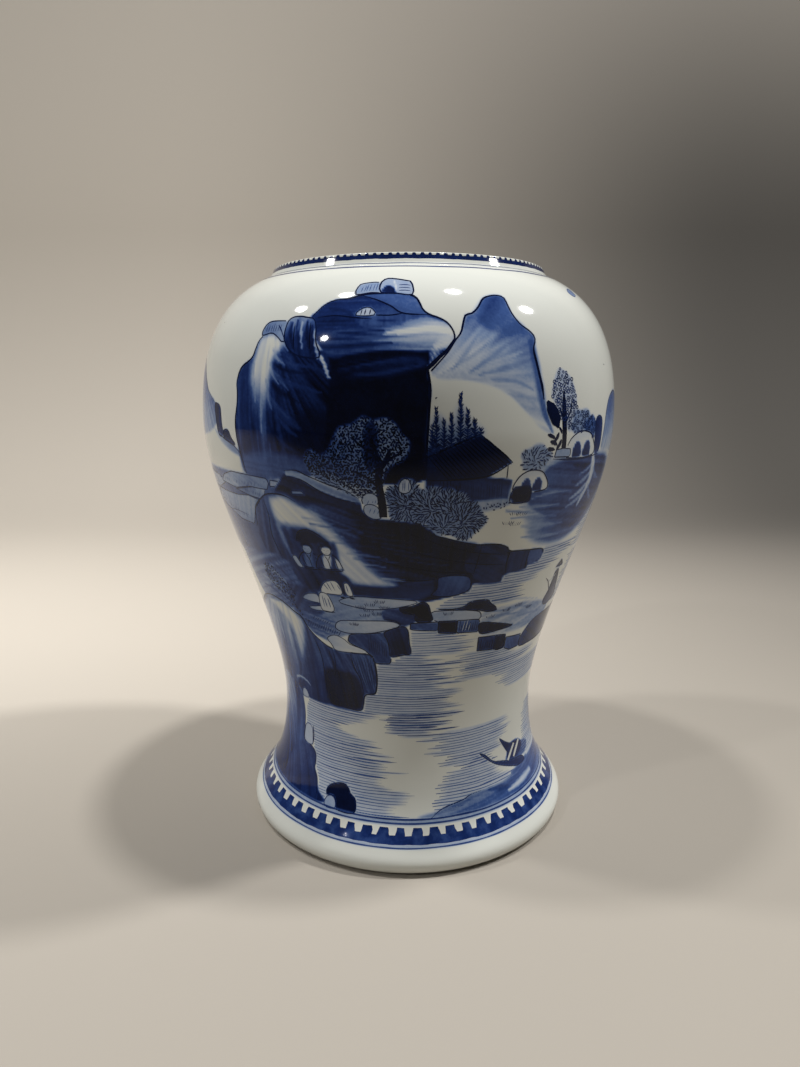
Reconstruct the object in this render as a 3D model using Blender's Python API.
"""Blue and white porcelain baluster vase: sections thrown one by one and luted together with slip.

Units are metres and +Z is up. The origin is on the floor, under the middle of the foot.
An outline is a list of (radius, height) points, and every piece is an outline turned about Z.
"""
import math

import bmesh
import bpy
import numpy as np

# Rises, each from the level named before it
ROLL_RISE = 0.0060          # floor to the widest line of the rolled foot
FLARE_RISE = 0.0078         # widest line of the foot to the skirt of the flare
WAIST_RISE = 0.0500         # skirt of the flare to the waist
BELLY_RISE = 0.1520         # waist to the belly
SHOULDER_RISE = 0.0697      # belly to the foot of the collar
COLLAR_RISE = 0.0045        # foot of the collar to the rim

# Outer radii, and what is added to them
FOOT_RADIUS = 0.0886
WAIST_RADIUS = 0.0694
BELLY_RADIUS = 0.1071
RIM_RADIUS = 0.0693
COLLAR_SPREAD = 0.0019      # the collar is this much wider at its foot than at the rim
ROLL_LIP = 0.0045           # the roll stands out this far past the skirt of the flare

# Slopes, and how far each curve holds its direction as a share of the span that it crosses
SHOULDER_FALL = math.radians(20.5)   # from the horizontal, where the shoulder leaves the collar
FLARE_SPREAD = math.radians(34.0)    # from the vertical, at the skirt of the flare
SHOULDER_HOLD = 1.00
BELLY_HOLD_ABOVE = 0.30
BELLY_HOLD_BELOW = 0.26
WAIST_HOLD_ABOVE = 0.30
WAIST_HOLD_BELOW = 0.74
FLARE_HOLD_ABOVE = 0.10
FLARE_HOLD_BELOW = 0.51
ROLL_HOLD_ABOVE = 0.37

# Wall, lip and standing ring
WALL = 0.0060
LIP_ROUND = 0.0008
STANDING_WIDTH = 0.0090     # flat, unglazed ring that the vase stands on

# Base disc, laid on a ledge inside the foot
LEDGE_HEIGHT = 0.0120
LEDGE_WIDTH = 0.0045
LEDGE_DEPTH = 0.0040
BASE_THICKNESS = 0.0060
FOOT_ABOVE_BASE = 0.0073    # wall of the foot section above the disc

# Joints between the sections
LOWER_BODY_ABOVE_WAIST = 0.0620
UPPER_BODY_ABOVE_BELLY = 0.0090
SLIP = 0.0007               # layer of luting slip in each joint
BEAD_PROUD = 0.0012         # slip squeezed out on the inside of a joint
BEAD_REACH = 0.0022         # how far it runs up and down the wall
CLEARANCE = 0.0003          # between pieces that face each other across a wall

# Fineness of the solids
TURN_STEPS = 60
CURVE_SAMPLES = 160
BODY_FACET = 0.0120
FOOT_FACET = 0.0030
SHARP_ANGLE = math.radians(35.0)

GLAZE = (0.62, 0.63, 0.61)
PAINTED = (0.34, 0.36, 0.42)    # mean of white glaze and cobalt painting
BISCUIT = (0.52, 0.45, 0.37)
GLAZE_ROUGHNESS = 0.08
BISCUIT_ROUGHNESS = 0.75

FLARE_HEIGHT = ROLL_RISE + FLARE_RISE
WAIST_HEIGHT = FLARE_HEIGHT + WAIST_RISE
BELLY_HEIGHT = WAIST_HEIGHT + BELLY_RISE
COLLAR_HEIGHT = BELLY_HEIGHT + SHOULDER_RISE
RIM_HEIGHT = COLLAR_HEIGHT + COLLAR_RISE

MOUTH_RADIUS = RIM_RADIUS - WALL
BASE_UNDERSIDE = LEDGE_HEIGHT + SLIP
BASE_TOP = BASE_UNDERSIDE + BASE_THICKNESS
FOOT_JOINT = BASE_TOP + FOOT_ABOVE_BASE
BODY_JOINT = WAIST_HEIGHT + LOWER_BODY_ABOVE_WAIST
SHOULDER_JOINT = BELLY_HEIGHT + UPPER_BODY_ABOVE_BELLY
COLLAR_JOINT = COLLAR_HEIGHT - SLIP


def bezier(start, lead, follow, end):
    """Points on the cubic curve from start to end that its two handles pull."""
    t = np.linspace(0.0, 1.0, CURVE_SAMPLES)[:, None]
    s = 1.0 - t
    return (s ** 3 * np.array(start) + 3 * s ** 2 * t * np.array(lead)
            + 3 * s * t ** 2 * np.array(follow) + t ** 3 * np.array(end))


def arc(centre, radius, start, end):
    """Points on a circular arc between two angles."""
    turn_by = np.linspace(start, end, CURVE_SAMPLES)
    return np.column_stack([centre[0] + radius * np.cos(turn_by), centre[1] + radius * np.sin(turn_by)])


def chain(*curves):
    """One curve from several that meet end to end."""
    return np.vstack([curves[0]] + [curve[1:] for curve in curves[1:]])


def offset(curve, distance):
    """A falling curve moved inwards along its own normals."""
    along = np.gradient(curve, axis=0)
    along /= np.linalg.norm(along, axis=1)[:, None]
    outward = np.column_stack([-along[:, 1], along[:, 0]])
    return curve - distance * outward


def radius_at(curve, height):
    """Radius of a falling curve at a height."""
    return float(np.interp(-height, -curve[:, 1], curve[:, 0]))


def between(curve, top, bottom, facet):
    """Evenly spaced points of a falling curve from one height down to another."""
    inside = curve[(curve[:, 1] < top) & (curve[:, 1] > bottom)]
    stretch = np.vstack([(radius_at(curve, top), top), inside, (radius_at(curve, bottom), bottom)])
    steps = np.linalg.norm(np.diff(stretch, axis=0), axis=1)
    length = np.concatenate([[0.0], np.cumsum(steps)])
    count = max(2, math.ceil(length[-1] / facet) + 1)
    stops = np.linspace(0.0, length[-1], count)
    return np.column_stack([np.interp(stops, length, stretch[:, 0]), np.interp(stops, length, stretch[:, 1])])


def outer_wall():
    """The outside of the vase from the foot of the collar down to the floor."""
    collar_radius = RIM_RADIUS + COLLAR_SPREAD
    flare_radius = FOOT_RADIUS - ROLL_LIP
    reach = SHOULDER_HOLD * (BELLY_RADIUS - collar_radius)
    skirt = np.array([math.sin(FLARE_SPREAD), -math.cos(FLARE_SPREAD)])
    flare = np.array([flare_radius, FLARE_HEIGHT])
    shoulder = bezier(
        (collar_radius, COLLAR_HEIGHT),
        (collar_radius + reach * math.cos(SHOULDER_FALL), COLLAR_HEIGHT - reach * math.sin(SHOULDER_FALL)),
        (BELLY_RADIUS, BELLY_HEIGHT + BELLY_HOLD_ABOVE * SHOULDER_RISE),
        (BELLY_RADIUS, BELLY_HEIGHT))
    body = bezier(
        (BELLY_RADIUS, BELLY_HEIGHT),
        (BELLY_RADIUS, BELLY_HEIGHT - BELLY_HOLD_BELOW * BELLY_RISE),
        (WAIST_RADIUS, WAIST_HEIGHT + WAIST_HOLD_ABOVE * BELLY_RISE),
        (WAIST_RADIUS, WAIST_HEIGHT))
    stem = bezier(
        (WAIST_RADIUS, WAIST_HEIGHT),
        (WAIST_RADIUS, WAIST_HEIGHT - WAIST_HOLD_BELOW * WAIST_RISE),
        flare - FLARE_HOLD_ABOVE * WAIST_RISE * skirt,
        flare)
    roll = bezier(
        flare,
        flare + FLARE_HOLD_BELOW * FLARE_RISE * skirt,
        (FOOT_RADIUS, ROLL_RISE + ROLL_HOLD_ABOVE * FLARE_RISE),
        (FOOT_RADIUS, ROLL_RISE))
    tuck = arc((FOOT_RADIUS - ROLL_RISE, ROLL_RISE), ROLL_RISE, 0.0, -math.pi / 2)
    return chain(shoulder, body, stem, roll, tuck)


def inner_wall(outer):
    """The inside of the vase from the rim down to the ledge, straight where the foot section begins."""
    hollow = offset(outer[outer[:, 1] >= FLARE_HEIGHT], WALL)
    eave = hollow[0, 1] + (hollow[0, 0] - MOUTH_RADIUS) * math.tan(SHOULDER_FALL)
    mouth = np.array([(MOUTH_RADIUS, RIM_HEIGHT), (MOUTH_RADIUS, eave)])
    bore = radius_at(hollow, FOOT_JOINT)
    foot = np.array([(bore, FOOT_JOINT), (bore, LEDGE_HEIGHT)])
    return np.vstack([mouth, hollow[hollow[:, 1] > FOOT_JOINT], foot])


def closed(*stretches):
    """One outline from stretches that run down the outside and back up the inside."""
    return [tuple(point) for stretch in stretches for point in stretch]


def section_outline(outer, inner, top, bottom):
    """Wall of the vase between two heights, with flat ends."""
    down = between(outer, top, bottom, BODY_FACET)
    up = between(inner, top, bottom, BODY_FACET)[::-1]
    return closed(down, up)


def foot_outline(outer, bore):
    """Flared foot with its rolled edge, its standing ring and the ledge for the base disc."""
    down = between(outer, FOOT_JOINT, 0.0, FOOT_FACET)
    ledge = bore - LEDGE_WIDTH
    standing = [(FOOT_RADIUS - ROLL_RISE - STANDING_WIDTH, 0.0)]
    recess = [(ledge, LEDGE_HEIGHT - LEDGE_DEPTH), (ledge, LEDGE_HEIGHT), (bore, LEDGE_HEIGHT)]
    return closed(down, standing, recess, [(bore, FOOT_JOINT)])


def collar_outline():
    """Short, slightly conical collar with a rounded lip."""
    lip = RIM_HEIGHT - LIP_ROUND
    outside = arc((RIM_RADIUS - LIP_ROUND, lip), LIP_ROUND, math.pi / 2, 0.0)[::CURVE_SAMPLES // 3]
    inside = arc((MOUTH_RADIUS + LIP_ROUND, lip), LIP_ROUND, math.pi, math.pi / 2)[::CURVE_SAMPLES // 3]
    underside = [(RIM_RADIUS + COLLAR_SPREAD, COLLAR_HEIGHT), (MOUTH_RADIUS, COLLAR_HEIGHT)]
    return closed(outside, underside, inside)


def seam_outline(outer, inner, bottom):
    """Layer of slip in a joint, with the bead that was squeezed out on the inside."""
    top = bottom + SLIP
    wall = [(radius_at(inner, bottom), bottom), (radius_at(inner, bottom) - CLEARANCE, bottom)]
    low, middle, high = bottom - BEAD_REACH, bottom + SLIP / 2, top + BEAD_REACH
    bead = [
        (radius_at(inner, low) - CLEARANCE, low),
        (radius_at(inner, middle) - CLEARANCE - BEAD_PROUD, middle),
        (radius_at(inner, high) - CLEARANCE, high)]
    back = [(radius_at(inner, top) - CLEARANCE, top), (radius_at(inner, top), top)]
    return closed([(radius_at(outer, top), top), (radius_at(outer, bottom), bottom)], wall, bead, back)


def ring_outline(outside, inside, top, bottom):
    """Plain ring between two radii and two heights."""
    return [(outside, top), (outside, bottom), (inside, bottom), (inside, top)]


def bed_outline(bore, base_radius):
    """Slip that beds the base disc on its ledge and closes the joint round its edge."""
    outside = bore - CLEARANCE
    inside = base_radius + CLEARANCE
    return [(outside, BASE_TOP), (outside, LEDGE_HEIGHT), (bore - LEDGE_WIDTH, LEDGE_HEIGHT),
            (bore - LEDGE_WIDTH, BASE_UNDERSIDE), (inside, BASE_UNDERSIDE), (inside, BASE_TOP)]


def disc_outline(radius, top, bottom):
    """Solid disc, from the axis out and back."""
    return [(0.0, top), (radius, top), (radius, bottom), (0.0, bottom)]


def material(name, colour, roughness):
    """Principled material of one piece."""
    made = bpy.data.materials.new(name)
    made.use_nodes = True
    shader = made.node_tree.nodes["Principled BSDF"]
    shader.inputs["Base Color"].default_value = (*colour, 1.0)
    shader.inputs["Roughness"].default_value = roughness
    shader.inputs["Metallic"].default_value = 0.0
    return made


def turn(name, outline, colour, roughness, parent):
    """Turn an outline about Z into one named solid."""
    form = bmesh.new()
    points = [form.verts.new((radius, 0.0, height)) for radius, height in outline]
    edges = [form.edges.new((point, points[i - 1])) for i, point in enumerate(points)]
    bmesh.ops.spin(form, geom=points + edges, cent=(0, 0, 0), axis=(0, 0, 1), dvec=(0, 0, 0),
                   angle=2 * math.pi, steps=TURN_STEPS, use_merge=True)
    bmesh.ops.remove_doubles(form, verts=form.verts, dist=1e-6)
    wires = [edge for edge in form.edges if not edge.link_faces]
    bmesh.ops.delete(form, geom=wires, context="EDGES")
    bmesh.ops.recalc_face_normals(form, faces=form.faces)
    mesh = bpy.data.meshes.new(name)
    form.to_mesh(mesh)
    form.free()
    mesh.shade_smooth()
    mesh.set_sharp_from_angle(angle=SHARP_ANGLE)
    mesh.materials.append(material(name, colour, roughness))
    piece = bpy.data.objects.new(name, mesh)
    bpy.context.scene.collection.objects.link(piece)
    piece.parent = parent
    return piece


def build():
    """Make every piece of the vase."""
    for item in list(bpy.data.objects):
        bpy.data.objects.remove(item, do_unlink=True)
    vase = bpy.data.objects.new("vase", None)
    bpy.context.scene.collection.objects.link(vase)

    outer = outer_wall()
    inner = inner_wall(outer)
    bore = radius_at(inner, LEDGE_HEIGHT)
    base_radius = bore - 2 * CLEARANCE - SLIP

    turn("foot_section", foot_outline(outer, bore), GLAZE, GLAZE_ROUGHNESS, vase)
    turn("base_disc", disc_outline(base_radius, BASE_TOP, BASE_UNDERSIDE), GLAZE, GLAZE_ROUGHNESS, vase)

    sections = [
        ("lower_body", BODY_JOINT, FOOT_JOINT + SLIP),
        ("upper_body", SHOULDER_JOINT, BODY_JOINT + SLIP),
        ("shoulder", COLLAR_JOINT, SHOULDER_JOINT + SLIP)]
    for name, top, bottom in sections:
        turn(name, section_outline(outer, inner, top, bottom), PAINTED, GLAZE_ROUGHNESS, vase)
    turn("collar", collar_outline(), GLAZE, GLAZE_ROUGHNESS, vase)

    turn("base_slip_seam", bed_outline(bore, base_radius), BISCUIT, BISCUIT_ROUGHNESS, vase)
    seams = [
        ("foot_slip_seam", FOOT_JOINT),
        ("body_slip_seam", BODY_JOINT),
        ("shoulder_slip_seam", SHOULDER_JOINT)]
    for name, bottom in seams:
        turn(name, seam_outline(outer, inner, bottom), BISCUIT, BISCUIT_ROUGHNESS, vase)
    collar_seam = ring_outline(RIM_RADIUS + COLLAR_SPREAD, MOUTH_RADIUS, COLLAR_HEIGHT, COLLAR_JOINT)
    turn("collar_slip_seam", collar_seam, BISCUIT, BISCUIT_ROUGHNESS, vase)


build()
